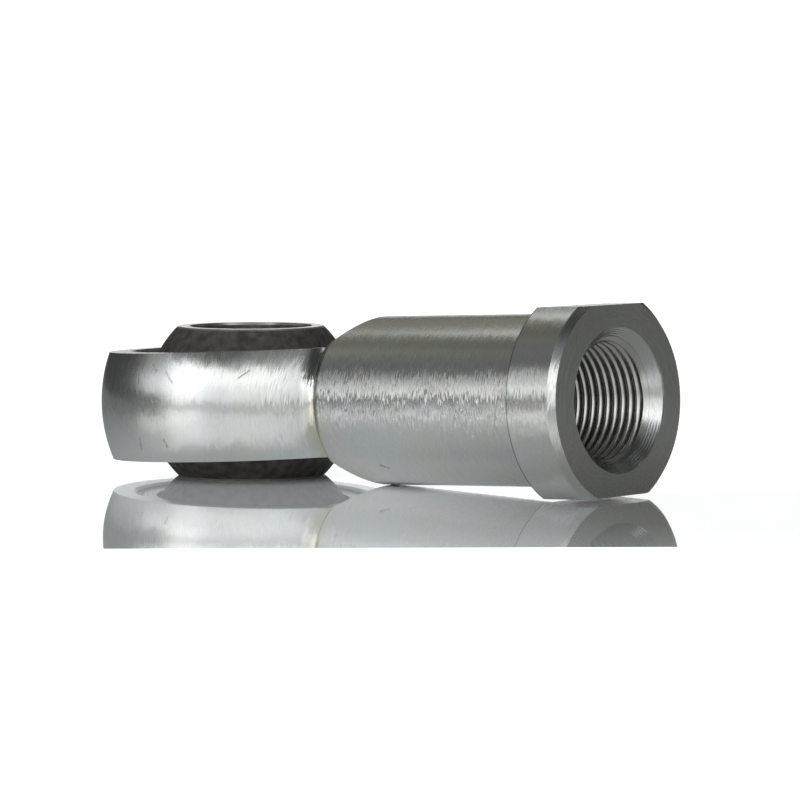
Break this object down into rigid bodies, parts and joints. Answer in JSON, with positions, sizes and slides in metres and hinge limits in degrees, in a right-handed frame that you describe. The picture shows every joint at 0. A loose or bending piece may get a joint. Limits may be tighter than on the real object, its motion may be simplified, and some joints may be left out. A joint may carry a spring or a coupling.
{
  "type": "rod end ball joint",
  "caption": "Female rod end: a threaded steel body with a milled eye that holds a swivelling ball with a pin bore, to join a cylinder rod to a pin.",
  "frame": {"origin": "centre of the ball, in the middle of the pin bore", "axes": "+Z along the pin bore, upwards as the part lies; +X from the ball to the threaded mouth"},
  "size_m": [0.1026, 0.05, 0.0307],
  "materials": {
    "zinc_plated_steel": "zinc plated, satin, with turning marks",
    "race_steel": "turned steel",
    "liner_fabric": "low-friction woven liner",
    "dark_ball_steel": "dark phosphated, oiled"
  },
  "bodies": {
    "housing": {"rod_end_body": "zinc_plated_steel", "outer_race": "race_steel", "sliding_liner": "liner_fabric"},
    "ball": {"inner_ring": "dark_ball_steel"}
  },
  "joints": [
    {"name": "ball_tilt", "type": "hinge", "parent": "housing", "child": "ball", "pos_m": [0, 0, 0], "axis": [0, 1, 0], "range_deg": [-16.35, 11.65]}
  ]
}
